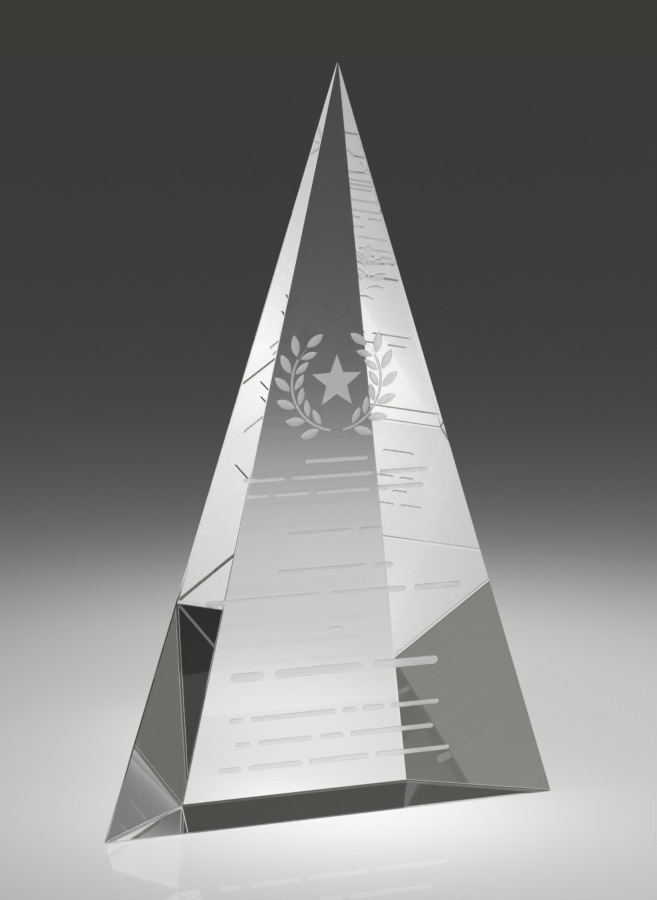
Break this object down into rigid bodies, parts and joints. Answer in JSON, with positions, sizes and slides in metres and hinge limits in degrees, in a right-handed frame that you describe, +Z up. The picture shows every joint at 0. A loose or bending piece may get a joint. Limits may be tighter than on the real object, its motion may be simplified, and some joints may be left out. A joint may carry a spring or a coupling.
{
  "type": "crystal award",
  "caption": "Tall slim faceted pyramid of clear optical crystal for presentation, standing on its flat foot, with a frosted star, laurel sprays and plain bars carved into its upright face.",
  "frame": {"origin": "under the middle of the award, on the surface that it stands on", "axes": "+Z up towards the point; +Y from the upright carved front face to the back; +X to the right of somebody reading the front"},
  "size_m": [0.166, 0.0551, 0.254],
  "materials": {
    "crystal": "clear optical crystal, ground flat and polished, with narrow polished arrises",
    "frost": "sand-blasted crystal, fine white frosting"
  },
  "bodies": {
    "root": {"crystal_body": "crystal", "etched_star": "frost", "etched_laurel_left": "frost", "etched_laurel_right": "frost", "etched_row_01": "frost", "etched_row_02": "frost", "etched_row_03": "frost", "etched_row_04": "frost", "etched_row_05": "frost", "etched_row_06": "frost", "etched_row_07": "frost", "etched_row_08": "frost", "etched_row_09": "frost", "etched_row_10": "frost", "etched_row_11": "frost"}
  },
  "joints": []
}
